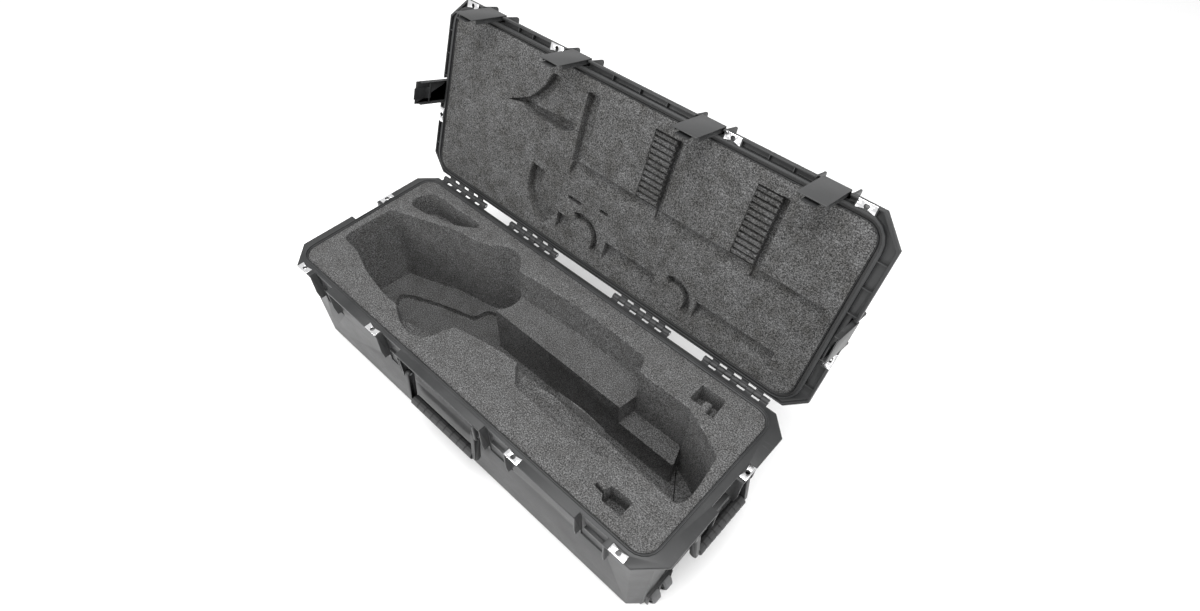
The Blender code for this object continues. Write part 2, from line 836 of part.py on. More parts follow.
def make_latch(name, number, along, side, looks, hinge):
    """A lever on its pin, and the trigger that hooks under the catch bar."""
    frame = lid_frame(side_frame(side, along)) @ Matrix.Translation((0, PIVOT_IN, PIVOT_UP))
    pin = bmesh.new()
    reach = EAR_CENTRE + FIN_THICK / 2
    add_rod(pin, (-reach, 0, 0), (reach, 0, 0), LATCH_PIN_RADIUS)
    add_object(f"latch_pin_{number}", pin, looks["steel"], hinge, frame)

    tilted = frame @ Matrix.Rotation(math.radians(-LATCH_TILT[side]), 4, "X")
    lever = bmesh.new()
    add_box(lever, (-LATCH_HALF, -0.0065, -LATCH_LENGTH), (LATCH_HALF, -0.0045, 0.0045))
    body = add_object(name, lever, looks["lever"], hinge, tilted)
    sides = bmesh.new()
    for hand in (-1, 1):
        low, high = sorted((hand * (LATCH_HALF - 0.0001), hand * (LATCH_HALF - 0.0022)))
        add_box(sides, (low, -0.0050, -0.074), (high, 0.0030, 0.0040))
    helper_join(body, sides)
    barrel = bmesh.new()
    reach = LATCH_HALF - 0.0002
    add_rod(barrel, (-reach, 0, 0), (reach, 0, 0), 0.0050)
    helper_join(body, barrel)
    bores = bmesh.new()
    add_rod(bores, (-0.04, 0, 0), (0.04, 0, 0), LATCH_PIN_RADIUS + FIT_GAP)
    spot = Vector((0, 0, -TRIGGER_DOWN))
    add_rod(bores, spot - Vector((0.04, 0, 0)), spot + Vector((0.04, 0, 0)), TRIGGER_PIN_RADIUS + FIT_GAP)
    helper_cut(body, bores)

    trigger = bmesh.new()
    outline = [
        (-0.0015, 0.0028),
        (0.0015, 0.0028),
        (0.0015, 0.0),
        (-0.0011, -0.0060),
        (-0.0011, -0.0150),
        (0.0005, -0.0152),
        (0.0005, -0.0300),
        (0.0004, -0.0395),
        (-0.0010, -0.0400),
        (-0.0010, -0.0310),
        (-0.0020, -0.0205),
        (-0.0028, -0.0155),
        (-0.0028, -0.0120),
    ]
    add_slab(trigger, outline, -0.012, 0.012, SIDEWAYS)
    placed = Matrix.Translation(spot)
    hook = add_object(name.replace("latch", "trigger"), trigger, looks["dark"], body, placed)
    axle = bmesh.new()
    reach = LATCH_HALF - 0.0003
    add_rod(axle, (-reach, 0, 0), (reach, 0, 0), TRIGGER_PIN_RADIUS)
    helper_join(hook, axle)


def helper_join(target, shape):
    attach(target, shape, "UNION")


def helper_cut(target, shape):
    attach(target, shape, "DIFFERENCE")


def attach(target, shape, operation):
    """Like combine, for a target that stands in a frame of its own."""
    combine(target, shape, operation)
    helper = target.modifiers[-1].object
    helper.parent = target
    helper.matrix_local = Matrix()


def make_padlock_plates(number, along, offset, side, look, root, hinge):
    """Two plates with a padlock hole, one let into each half of the rim."""
    here = plate_offset(side, offset)
    outline = [(-PLATE_HALF, 0.0), (PLATE_HALF, 0.0), (PLATE_HALF, PLATE_DEPTH)]
    outline += arc((0, PLATE_DEPTH / 2), PADLOCK_RADIUS, 60, -240, 14)
    outline.append((-PLATE_HALF, PLATE_DEPTH))
    for label, parent, low in (("base", root, -FIT_GAP - PLATE_THICK), ("lid", hinge, RIM_GAP + FIT_GAP)):
        shape = bmesh.new()
        add_slab(shape, outline, low, low + PLATE_THICK)
        frame = side_frame(side, along) @ Matrix.Translation((here, 0, 0))
        if label == "lid":
            frame = lid_frame(frame)
        add_object(f"{label}_padlock_plate_{number}", shape, look, parent, frame)


def make_handle(name, side, along, half, pivot, grip, looks, root):
    frame = side_frame(side, along) @ Matrix.Translation((0, -pivot[0], pivot[1]))
    drop = (pivot[0] - grip[0], grip[1] - pivot[1])
    arms = bmesh.new()
    for hand in (-1, 1):
        low, high = sorted((hand * (half - HUB_HALF), hand * (half + HUB_HALF)))
        outline = arc((0, 0), HUB_RADIUS - 0.001, 0, 180, 10)
        outline += arc(drop, GRIP_CORE + 0.0010, 180, 360, 10)
        add_slab(arms, outline, low, high, SIDEWAYS)
    bail = add_object(name, arms, looks["dark"], root, frame)
    core = bmesh.new()
    reach = half - HUB_HALF + 0.002
    add_rod(core, (-reach, *drop), (reach, *drop), GRIP_CORE)
    helper_join(bail, core)
    bores = bmesh.new()
    add_rod(bores, (-half * 2, 0, 0), (half * 2, 0, 0), HANDLE_PIN_RADIUS + FIT_GAP)
    helper_cut(bail, bores)

    sleeve = bmesh.new()
    length = half - HUB_HALF - 0.0008
    rings = 9
    outline = [(-length, GRIP_CORE + FIT_GAP), (-length, GRIP_RADIUS)]
    for number in range(1, rings):
        middle = -length + 2 * length * number / rings
        outline.append((middle - 0.0016, GRIP_RADIUS))
        outline.append((middle, GRIP_RADIUS - 0.0012))
        outline.append((middle + 0.0016, GRIP_RADIUS))
    outline += [(length, GRIP_RADIUS), (length, GRIP_CORE + FIT_GAP)]
    turn_outline(sleeve, outline, 12)
    add_object(f"{name}_grip", sleeve, looks["rubber"], root, frame @ Matrix.Translation((0, *drop)))

    for number, hand in enumerate((-1, 1), 1):
        pin = bmesh.new()
        start = (hand * (half - HUB_HALF + 0.0008), 0, 0)
        add_rod(pin, start, (hand * (half + HUB_HALF + 0.0062), 0, 0), HANDLE_PIN_RADIUS)
        add_object(f"{name}_pin_{number}", pin, looks["steel"], root, frame)


def turn_outline(shape, outline, sides):
    """Turns a closed outline of (x, radius) about the X axis."""
    loops = []
    for step in range(sides):
        angle = 2 * math.pi * step / sides
        across = math.cos(angle)
        up = math.sin(angle)
        loops.append([shape.verts.new((x, radius * across, radius * up)) for x, radius in outline])
    for here, there in zip(loops, loops[1:] + loops[:1]):
        for a in range(len(outline)):
            b = (a + 1) % len(outline)
            shape.faces.new((here[a], here[b], there[b], there[a]))


def make_wheels(looks, root):
    number = 0
    across = Matrix.Rotation(math.radians(90), 4, "Z")
    for label, middle in WHEEL_PAIRS:
        hub = Matrix.Translation((WHEEL_X, middle, WHEEL_Z))
        for hand in (-1, 1):
            number += 1
            tread = bmesh.new()
            edge = WHEEL_HALF
            bore = AXLE_RADIUS + FIT_GAP
            outline = [(-edge, bore), (-edge, 0.0080), (-edge + 0.002, 0.0085), (-edge + 0.002, 0.0160)]
            outline += [(-edge, 0.0165), (-edge, WHEEL_RADIUS - 0.003), (-edge + 0.003, WHEEL_RADIUS)]
            outline += [(-x, radius) for x, radius in reversed(outline)]
            turn_outline(tread, outline, 20)
            spot = hub @ Matrix.Translation((0, hand * WHEEL_SPREAD, 0)) @ across
            add_object(f"wheel_{number}", tread, looks["wheel"], root, spot)
        axle = bmesh.new()
        add_rod(axle, (0, -0.0318, 0), (0, 0.0318, 0), AXLE_RADIUS)
        add_object(f"{label}_axle", axle, looks["steel"], root, hub)
        make_carrier(label, hub, looks, root)


def make_carrier(label, hub, looks, root):
    """The bracket let into the wheel well: a back, a top, two cheeks and a middle web."""
    back = WELL_IN + 0.0005 - WHEEL_X
    top = WELL_TOP - 0.0005 - WHEEL_Z
    front = 0.0115
    low = -0.0125
    shape = bmesh.new()
    add_box(shape, (back, -0.0330, low), (back + 0.003, 0.0330, top))
    carrier = add_object(f"{label}_wheel_carrier", shape, looks["dark"], root, hub)
    roof = bmesh.new()
    add_box(roof, (back + 0.001, -0.0325, top - 0.003), (front - 0.0005, 0.0325, top - 0.0002))
    helper_join(carrier, roof)
    webs = bmesh.new()
    for middle, half in ((-0.0311, 0.0017), (0.0, 0.0040), (0.0311, 0.0017)):
        add_box(webs, (back + 0.0005, middle - half, low + 0.0005), (front, middle + half, top - 0.0008))
    helper_join(carrier, webs)
    bores = bmesh.new()
    add_rod(bores, (0, -0.05, 0), (0, 0.05, 0), AXLE_RADIUS + FIT_GAP)
    helper_cut(carrier, bores)


def make_hinge_pins(look, root):
    for number, centre in enumerate(HINGE_CENTRES, 1):
        shape = bmesh.new()
        reach = HINGE_LENGTH / 2 - FIT_GAP
        add_rod(shape, (-reach, 0, 0), (reach, 0, 0), HINGE_PIN_RADIUS)
        add_object(f"hinge_pin_{number}", shape, look, root, Matrix.Translation((centre, HINGE_Y, 0)))


def make_valve(look, root):
    """The pressure valve, screwed on the back wall."""
    outer_wall = FOAM_WIDTH / 2 + WALL[3] - 0.0003
    shape = bmesh.new()
    add_rod(shape, (0, 0, 0), (0, 0.0030, 0), 0.0130)
    valve = add_object("pressure_valve", shape, look, root, Matrix.Translation((0.0, outer_wall, -0.050)))
    knob = bmesh.new()
    add_rod(knob, (0, 0.0020, 0), (0, 0.0075, 0), 0.0085, sides=12)
    helper_join(valve, knob)


def main():
    clear_scene()
    looks = {
        "shell": material("charcoal_shell", (0.055, 0.057, 0.060), 0.48),
        "foam": material("closed_cell_foam", (0.105, 0.107, 0.108), 0.95),
        "gasket": material("seal_rubber", (0.020, 0.020, 0.020), 0.70),
        "lever": material("grey_lever", (0.210, 0.212, 0.214), 0.40),
        "dark": material("dark_fitting", (0.030, 0.031, 0.033), 0.45),
        "plate": material("polished_steel", (0.86, 0.86, 0.87), 0.16, 1.0),
        "steel": material("pin_steel", (0.56, 0.57, 0.58), 0.30, 1.0),
        "rubber": material("grip_rubber", (0.040, 0.040, 0.041), 0.62),
        "wheel": material("wheel_tread", (0.180, 0.182, 0.184), 0.55),
    }
    root = add_empty("case", None, Matrix.Translation((0, 0, BASE_DEPTH)))
    opened = Matrix.Translation((0, HINGE_Y, 0)) @ Matrix.Rotation(-LID_OPEN, 4, "X")
    hinge = add_empty("lid_hinge", root, opened)
    make_base_shell(looks["shell"], root)
    make_base_foam(looks["foam"], root)
    make_lid_shell(looks["shell"], hinge)
    make_lid_foam(looks["foam"], hinge)
    make_gasket(looks["gasket"], hinge)
    make_hinge_pins(looks["steel"], root)
    for number, (name, along, offset, side) in enumerate(STATIONS, 1):
        make_latch(name, number, along, side, looks, hinge)
        make_padlock_plates(number, along, offset, side, looks["plate"], root, hinge)
    for name, side, along, half, pivot, grip in HANDLES:
        make_handle(name, side, along, half, pivot, grip, looks, root)
    make_wheels(looks, root)
    make_valve(looks["dark"], root)
    bpy.context.view_layer.update()


main()
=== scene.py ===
# %% [markdown]
# # A telescope carry case
# The case is a long moulded shell with a hinged lid, six latches, two handles and wheels at one end.
# Both halves hold foam cut to the outline of a telescope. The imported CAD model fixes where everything
# is, so each step below takes its place from that frame and adds the shape and finish that the eye
# sees.

import json
import math

import bmesh
import bpy
from mathutils import Matrix, Vector


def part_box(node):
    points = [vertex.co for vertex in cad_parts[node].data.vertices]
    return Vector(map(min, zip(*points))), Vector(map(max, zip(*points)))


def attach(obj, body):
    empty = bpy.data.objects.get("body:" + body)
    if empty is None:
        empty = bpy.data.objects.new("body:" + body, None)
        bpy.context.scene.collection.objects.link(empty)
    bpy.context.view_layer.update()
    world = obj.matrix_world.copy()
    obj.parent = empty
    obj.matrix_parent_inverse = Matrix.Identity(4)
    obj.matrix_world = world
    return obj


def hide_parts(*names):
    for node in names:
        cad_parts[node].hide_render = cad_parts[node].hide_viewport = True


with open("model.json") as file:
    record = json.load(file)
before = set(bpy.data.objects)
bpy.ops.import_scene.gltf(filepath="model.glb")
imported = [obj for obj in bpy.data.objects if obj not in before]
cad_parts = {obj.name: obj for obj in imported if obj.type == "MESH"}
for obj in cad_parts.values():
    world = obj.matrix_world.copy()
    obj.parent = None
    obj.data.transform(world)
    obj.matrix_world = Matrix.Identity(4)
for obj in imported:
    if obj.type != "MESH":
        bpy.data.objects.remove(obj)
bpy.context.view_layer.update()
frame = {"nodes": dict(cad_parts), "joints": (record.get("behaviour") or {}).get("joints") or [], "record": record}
joints = {joint["name"]: joint for joint in frame["joints"]}
HINGE = Vector(joints["lid_hinge"]["pos_m"])
RIM = HINGE.z
OPEN_ANGLE = math.radians(joints["lid_hinge"]["range_deg"][1])
lift = Matrix.Translation((0, 0, RIM))
opened = Matrix.Translation(HINGE) @ Matrix.Rotation(-OPEN_ANGLE, 4, "X") @ Matrix.Translation(-HINGE)
lid_space = opened @ lift
print("rim at", round(RIM, 3), "m")

# %% [markdown]
# ## Stage
# A pale floor, one wide lamp overhead, two softer ones in front and at the end, and an even white
# surround keep the shading plain. The camera looks down at the open case from its front right-hand
# corner.

# %% Camera
CAMERA_PLACE = (0.6267, -0.4953, 1.2329)
CAMERA_RIGHT = Vector((0.7256, 0.6881, 0.0063))
CAMERA_AHEAD = Vector((-0.4256, 0.4560, -0.7816))
SENSOR = 36.0
FOCAL_LENGTH = 20.106
SHIFT = (0.01775, 0.01875)


def aimed(place, ahead, right):
    """A matrix for a camera or lamp that stands at place and looks ahead."""
    back = -Vector(ahead).normalized()
    side = (Vector(right) - back * back.dot(Vector(right))).normalized()
    up = back.cross(side)
    turned = Matrix((side, up, back)).transposed().to_4x4()
    return Matrix.Translation(place) @ turned


lens = bpy.data.cameras.new("case_camera")
lens.sensor_width = SENSOR
lens.lens = FOCAL_LENGTH
lens.shift_x, lens.shift_y = SHIFT
lens.clip_end = 50
camera = bpy.data.objects.new("case_camera", lens)
camera.matrix_world = aimed(CAMERA_PLACE, CAMERA_AHEAD, CAMERA_RIGHT)
bpy.context.scene.collection.objects.link(camera)
bpy.context.scene.camera = camera
print("camera:", lens.lens, "mm")


# %% Lamps and surround
SURROUND_LIGHT = 0.85


def add_lamp(name, place, target, size, power):
    """A round soft lamp of this width and power in watts, which points at the target."""
    lamp = bpy.data.lights.new(name, "AREA")
    lamp.shape = "DISK"
    lamp.size = size
    lamp.energy = power
    made = bpy.data.objects.new(name, lamp)
    ahead = Vector(target) - Vector(place)
    made.matrix_world = aimed(place, ahead, (1, 0.01, 0.01))
    bpy.context.scene.collection.objects.link(made)


add_lamp("overhead_lamp", (0.3, -0.2, 2.6), (0, 0.05, 0.2), 1.8, 60)
add_lamp("front_lamp", (-0.9, -2.2, 1.5), (0, 0, 0.2), 1.4, 45)
add_lamp("end_lamp", (2.2, 0.2, 1.3), (0.3, 0, 0.2), 1.2, 18)

surround = bpy.data.worlds.new("white_surround")
surround.use_nodes = True
background = surround.node_tree.nodes["Background"]
background.inputs["Color"].default_value = (1, 1, 1, 1)
background.inputs["Strength"].default_value = SURROUND_LIGHT
bpy.context.scene.world = surround
bpy.context.scene.view_settings.view_transform = "Standard"
print("lamps: 3, with a white surround")

# %% [markdown]
# ## Finishes
# Every finish is a small network on Object coordinates, so a pattern keeps its real size in metres.
# Three effects come back in several finishes, so each is a node group: the fine grain of moulded
# plastic, the open cells of cut foam, and the light scuffs that gather in patches.


# %% Node helpers
def new_group(name, inputs, outputs):
    """An empty shader node group with float inputs and outputs."""
    group = bpy.data.node_groups.new(name, "ShaderNodeTree")
    for label, value in inputs:
        socket = group.interface.new_socket(label, in_out="INPUT", socket_type="NodeSocketFloat")
        socket.default_value = value
    for label in outputs:
        group.interface.new_socket(label, in_out="OUTPUT", socket_type="NodeSocketFloat")
    return group, group.nodes.new("NodeGroupInput"), group.nodes.new("NodeGroupOutput")


def math_node(tree, operation, first, second):
    """A Math node; each input is a socket or a number."""
    made = tree.nodes.new("ShaderNodeMath")
    made.operation = operation
    for socket, value in zip(made.inputs, (first, second)):
        if isinstance(value, (int, float)):
            socket.default_value = value
        else:
            tree.links.new(value, socket)
    return made.outputs[0]


def noise_node(tree, coordinates, scale, detail, roughness=0.55):
    made = tree.nodes.new("ShaderNodeTexNoise")
    made.inputs["Detail"].default_value = detail
    made.inputs["Roughness"].default_value = roughness
    tree.links.new(coordinates, made.inputs["Vector"])
    if isinstance(scale, (int, float)):
        made.inputs["Scale"].default_value = scale
    else:
        tree.links.new(scale, made.inputs["Scale"])
    return made.outputs["Fac"]


def ramp_node(tree, value, stops):
    """A colour ramp with (position, grey or colour) stops."""
    made = tree.nodes.new("ShaderNodeValToRGB")
    ramp = made.color_ramp
    while len(ramp.elements) < len(stops):
        ramp.elements.new(1.0)
    for element, (position, colour) in zip(ramp.elements, stops):
        element.position = position
        colour = (colour, colour, colour) if isinstance(colour, (int, float)) else colour
        element.color = (*colour, 1.0)
    tree.links.new(value, made.inputs["Fac"])
    return made.outputs["Color"]


def object_coordinates(tree):
    return tree.nodes.new("ShaderNodeTexCoord").outputs["Object"]


print("node helpers ready")

# %% Group: moulded grain
grain, grain_in, grain_out = new_group(
    "moulded_grain", [("Grain Scale", 900.0), ("Patch Scale", 14.0)], ["Height", "Patch"]
)
where = object_coordinates(grain)
fine = noise_node(grain, where, grain_in.outputs["Grain Scale"], 2.0)
broad = noise_node(grain, where, grain_in.outputs["Patch Scale"], 5.0, 0.62)
grain.links.new(fine, grain_out.inputs["Height"])
grain.links.new(broad, grain_out.inputs["Patch"])
print("group:", grain.name)

# %% Group: foam cells
cells, cells_in, cells_out = new_group(
    "foam_cells",
    [("Cell Scale", 420.0), ("Fleck Scale", 430.0), ("Mottle Scale", 34.0)],
    ["Height", "Fleck", "Mottle"],
)
where = object_coordinates(cells)
cell = cells.nodes.new("ShaderNodeTexVoronoi")
cell.feature = "F1"
cells.links.new(where, cell.inputs["Vector"])
cells.links.new(cells_in.outputs["Cell Scale"], cell.inputs["Scale"])
flecks = noise_node(cells, where, cells_in.outputs["Fleck Scale"], 3.0, 0.75)
mottle = noise_node(cells, where, cells_in.outputs["Mottle Scale"], 6.0, 0.66)
height = math_node(cells, "ADD", cell.outputs["Distance"], flecks)
cells.links.new(height, cells_out.inputs["Height"])
cells.links.new(flecks, cells_out.inputs["Fleck"])
cells.links.new(mottle, cells_out.inputs["Mottle"])
print("group:", cells.name)

# %% Group: scuffs
scuffs, scuffs_in, scuffs_out = new_group(
    "scuffs", [("Patch Scale", 22.0), ("Scratch Scale", 160.0)], ["Mask"]
)
where = object_coordinates(scuffs)
stretch = scuffs.nodes.new("ShaderNodeMapping")
stretch.inputs["Scale"].default_value = (0.12, 1.0, 1.0)
scuffs.links.new(where, stretch.inputs["Vector"])
lines = noise_node(scuffs, stretch.outputs["Vector"], scuffs_in.outputs["Scratch Scale"], 4.0, 0.7)
patches = noise_node(scuffs, where, scuffs_in.outputs["Patch Scale"], 3.0)
sharp = math_node(scuffs, "GREATER_THAN", math_node(scuffs, "MULTIPLY", lines, patches), 0.36)
scuffs.links.new(sharp, scuffs_out.inputs["Mask"])
print("group:", scuffs.name)


# %% [markdown]
# The case has four families of finish: moulded plastic, steel, rubber and cut foam. One function makes
# each family, and its arguments are what differs within it, such as colour and gloss. A separate
# network for every part would also work, but then a change to the grain would have to be made ten
# times.

# %% Material helpers
def new_material(name):
    made = bpy.data.materials.new(name)
    made.use_nodes = True
    return made, made.node_tree, made.node_tree.nodes["Principled BSDF"]


def use_group(tree, group, **values):
    """Places a group with its own values; an underscore in a name stands for a space."""
    made = tree.nodes.new("ShaderNodeGroup")
    made.node_tree = group
    for label, value in values.items():
        made.inputs[label.replace("_", " ")].default_value = value
    return made.outputs


def blend_colours(tree, share, first, second, kind="MIX"):
    made = tree.nodes.new("ShaderNodeMix")
    made.data_type = "RGBA"
    made.blend_type = kind
    for socket, value in ((made.inputs[0], share), (made.inputs[6], first), (made.inputs[7], second)):
        if isinstance(value, (int, float)):
            socket.default_value = value
        elif isinstance(value, tuple):
            socket.default_value = (*value, 1.0)
        else:
            tree.links.new(value, socket)
    return made.outputs[2]


def add_bump(tree, shader, height, strength, distance):
    bump = tree.nodes.new("ShaderNodeBump")
    bump.inputs["Strength"].default_value = strength
    bump.inputs["Distance"].default_value = distance
    tree.links.new(height, bump.inputs["Height"])
    tree.links.new(bump.outputs["Normal"], shader.inputs["Normal"])


def plastic(name, colour, light, roughness, grain_scale=950.0, depth=0.0002, wear=0.10):
    """Moulded plastic: a fine leather grain, patches that vary a little in tone, and pale scuffs."""
    made, tree, shader = new_material(name)
    texture = use_group(tree, grain, Grain_Scale=grain_scale, Patch_Scale=13.0)
    tone = ramp_node(tree, texture["Patch"], [(0.30, colour), (0.72, light)])
    rubbed = use_group(tree, scuffs)
    share = math_node(tree, "MULTIPLY", rubbed["Mask"], wear)
    pale = tuple(min(1.0, part * 2.4) for part in light)
    tree.links.new(blend_colours(tree, share, tone, pale), shader.inputs["Base Color"])
    rough = ramp_node(tree, texture["Patch"], [(0.3, roughness - 0.05), (0.7, roughness + 0.08)])
    tree.links.new(rough, shader.inputs["Roughness"])
    shader.inputs["Specular IOR Level"].default_value = 0.35
    add_bump(tree, shader, texture["Height"], 0.5, depth)
    return made


def metal(name, colour, roughness, scale=260.0):
    """Steel with a drawn grain: long streaks that shift the gloss a little."""
    made, tree, shader = new_material(name)
    shader.inputs["Metallic"].default_value = 1.0
    stretch = tree.nodes.new("ShaderNodeMapping")
    stretch.inputs["Scale"].default_value = (0.15, 1.0, 1.0)
    tree.links.new(object_coordinates(tree), stretch.inputs["Vector"])
    streaks = noise_node(tree, stretch.outputs["Vector"], scale, 4.0)
    darker = tuple(part * 0.82 for part in colour)
    tree.links.new(ramp_node(tree, streaks, [(0.3, darker), (0.7, colour)]), shader.inputs["Base Color"])
    rough = ramp_node(tree, streaks, [(0.3, roughness), (0.75, roughness + 0.14)])
    tree.links.new(rough, shader.inputs["Roughness"])
    add_bump(tree, shader, streaks, 0.15, 0.0001)
    return made


def rubber(name, colour, roughness, scale=700.0):
    """Dull rubber with a slight bloom in patches."""
    made, tree, shader = new_material(name)
    texture = use_group(tree, grain, Grain_Scale=scale, Patch_Scale=30.0)
    bloom = tuple(part * 1.9 for part in colour)
    tone = ramp_node(tree, texture["Patch"], [(0.35, colour), (0.78, bloom)])
    tree.links.new(tone, shader.inputs["Base Color"])
    rough = ramp_node(tree, texture["Patch"], [(0.3, roughness - 0.06), (0.7, roughness + 0.10)])
    tree.links.new(rough, shader.inputs["Roughness"])
    add_bump(tree, shader, texture["Height"], 0.45, 0.0003)
    return made


def foam_finish(name, dark, light, warm):
    """Cut closed-cell foam: fine dark and light flecks, with a slow mottle that is slightly warmer."""
    made, tree, shader = new_material(name)
    texture = use_group(tree, cells)
    stops = [(0.38, dark), (0.52, (dark + light) / 2.3), (0.64, light)]
    speckle = ramp_node(tree, texture["Fleck"], stops)
    shade = ramp_node(tree, texture["Mottle"], [(0.34, warm), (0.60, (1.0, 1.0, 1.0))])
    colour = blend_colours(tree, 1.0, speckle, shade, "MULTIPLY")
    tree.links.new(colour, shader.inputs["Base Color"])
    rough = ramp_node(tree, texture["Fleck"], [(0.3, 0.98), (0.75, 0.82)])
    tree.links.new(rough, shader.inputs["Roughness"])
    shader.inputs["Specular IOR Level"].default_value = 0.25
    add_bump(tree, shader, texture["Height"], 0.8, 0.0012)
    return made


print("material helpers ready")

# %% The finishes
SHELL = plastic("charcoal_shell_finish", (0.017, 0.0175, 0.018), (0.030, 0.0305, 0.031), 0.44)
FITTING = plastic("dark_fitting_finish", (0.012, 0.0125, 0.013), (0.022, 0.0225, 0.023), 0.45, 700.0)
LEVER = plastic("grey_lever_finish", (0.026, 0.0265, 0.027), (0.042, 0.0425, 0.043), 0.40, 1200.0, 0.0001)
PLATE = metal("polished_steel_finish", (0.90, 0.90, 0.91), 0.12)
PIN = metal("pin_steel_finish", (0.60, 0.61, 0.62), 0.28)
GRIP = rubber("grip_rubber_finish", (0.014, 0.014, 0.0145), 0.60)
SEAL = rubber("seal_rubber_finish", (0.016, 0.016, 0.016), 0.68)
TREAD = rubber("wheel_tread_finish", (0.060, 0.061, 0.062), 0.55)
BASE_FOAM = foam_finish("base_foam_finish", 0.022, 0.180, (0.76, 0.75, 0.74))
LID_FOAM = foam_finish("lid_foam_finish", 0.016, 0.165, (0.60, 0.59, 0.565))
print("finishes:", len(bpy.data.materials))

# %% [markdown]
# ## Making pieces
# A finished piece is one mesh in place, with its object at the origin. `place` closes a bmesh into such
# a piece, gives it its finish, shades its gentle bends smoothly and sets the body that it rides on.


# %% Piece helpers
SMOOTH_ANGLE = math.radians(38)


def finish_mesh(name, mesh, look, body):
    """A piece made of this mesh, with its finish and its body."""
    mesh.materials.clear()
    mesh.materials.append(look)
    mesh.shade_smooth()
    mesh.set_sharp_from_angle(angle=SMOOTH_ANGLE)
    made = bpy.data.objects.new(name, mesh)
    bpy.context.scene.collection.objects.link(made)
    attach(made, body)
    return made


def place(name, shape, look, body, slot, matrix=Matrix()):
    """Closes a bmesh into a piece that rides on a body."""
    bmesh.ops.transform(shape, matrix=matrix, verts=shape.verts)
    bmesh.ops.remove_doubles(shape, verts=shape.verts, dist=1e-6)
    bmesh.ops.recalc_face_normals(shape, faces=shape.faces)
    mesh = bpy.data.meshes.new(name)
    shape.to_mesh(mesh)
    shape.free()
    return finish_mesh(name, mesh, look, body)


def settled(made):
    """Turns an object's live modifiers into plain mesh and removes them."""
    graph = bpy.context.evaluated_depsgraph_get()
    mesh = bpy.data.meshes.new_from_object(made.evaluated_get(graph), depsgraph=graph)
    made.modifiers.clear()
    old = made.data
    made.data = mesh
    bpy.data.meshes.remove(old)
    return made


def loose_object(name, shape):
    """A plain object from a bmesh, which rides on nothing yet."""
    mesh = bpy.data.meshes.new(name)
    shape.to_mesh(mesh)
    shape.free()
    made = bpy.data.objects.new(name, mesh)
    bpy.context.scene.collection.objects.link(made)
    return made


def discard(made):
    """Removes a helper object and its mesh."""
    mesh = made.data
    bpy.data.objects.remove(made)
    bpy.data.meshes.remove(mesh)


print("piece helpers ready")

# %% [markdown]
# ## Rounded mouldings
# Moulded plastic and pressed steel have no knife edges. The CAD solids keep exact sharp corners, so
# each one that shows is copied, its loose triangles are merged back into whole faces, and a Bevel
# modifier rounds every edge that turns sharply. A highlight then runs along each edge, as it does on
# the real moulding.

# %% Rounding a CAD node
EDGE_ANGLE = math.radians(32)
EDGE_STEPS = 2
FLAT_ANGLE = math.radians(0.6)
MERGE_GAP = 2e-5


def rounded(node, look, body, radius):
    """A copy of a CAD node with its edges rounded, which stands for that node."""
    shape = bmesh.new()
    shape.from_mesh(frame["nodes"][node].data)
    bmesh.ops.remove_doubles(shape, verts=shape.verts, dist=MERGE_GAP)
    bmesh.ops.dissolve_degenerate(shape, edges=shape.edges, dist=MERGE_GAP)
    bmesh.ops.dissolve_limit(shape, angle_limit=FLAT_ANGLE, verts=shape.verts, edges=shape.edges)
    made = loose_object(node + "_moulding", shape)
    bevel = made.modifiers.new("rounded_edges", "BEVEL")
    bevel.limit_method = "ANGLE"
    bevel.angle_limit = EDGE_ANGLE
    bevel.width = radius
    bevel.segments = EDGE_STEPS
    bevel.use_clamp_overlap = False
    bevel.miter_outer = "MITER_ARC"
    settled(made)
    mesh = made.data
    bpy.data.objects.remove(made)
    piece = finish_mesh(node + "_moulding", mesh, look, body)
    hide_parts(node)
    return piece


body_of = {}
for body_name, members in frame["record"]["behaviour"]["bodies"].items():
    for member in members:
        body_of[member] = body_name
print("bodies:", len(set(body_of.values())))

# %% Round the mouldings
ROUNDING = (
    ("base_shell", SHELL, "charcoal_shell", 0.0006),
    ("lid_shell", SHELL, "charcoal_shell", 0.0006),
    ("front_handle", FITTING, "dark_fitting", 0.0012),
    ("end_handle", FITTING, "dark_fitting", 0.0012),
    ("front_wheel_carrier", FITTING, "dark_fitting", 0.0005),
    ("rear_wheel_carrier", FITTING, "dark_fitting", 0.0005),
    ("pressure_valve", FITTING, "dark_fitting", 0.0006),
)
for node, look, slot, radius in ROUNDING:
    piece = rounded(node, look, body_of[node], radius)
    print(piece.name, len(piece.data.polygons), "faces")
for node in sorted(frame["nodes"]):
    if node.endswith("_latch") or "_latch_" in node:
        rounded(node, LEVER, body_of[node], 0.0005)
    elif "_trigger" in node:
        rounded(node, FITTING, body_of[node], 0.0003)
    elif "padlock_plate" in node:
        rounded(node, PLATE, body_of[node], 0.0003)
print("mouldings rounded")

# %% [markdown]
# Pins, axles, grips, wheels and the seal already have their right form in the CAD, so they aren't
# copied. They only need a finish, which goes straight into their material slot.

# %% Finishes for the nodes that stay
KEPT_LOOKS = (
    ("_pin_", PIN),
    ("_axle", PIN),
    ("_grip", GRIP),
    ("wheel_", TREAD),
    ("lid_gasket", SEAL),
)
for node, made in frame["nodes"].items():
    for part, look in KEPT_LOOKS:
        if part in node and "carrier" not in node:
            made.data.materials.clear()
            made.data.materials.append(look)
print("kept nodes have their finishes")

# %% [markdown]
# ## Foam
# The foam is one tall block with the telescope's outline cut down into it, so it is made the same way:
# a rounded block, and cutters subtracted from it. A knife-cut edge in soft foam always rolls over a
# little, so every cutter flares at its mouth and narrows at its floor, and no corner there is sharp.


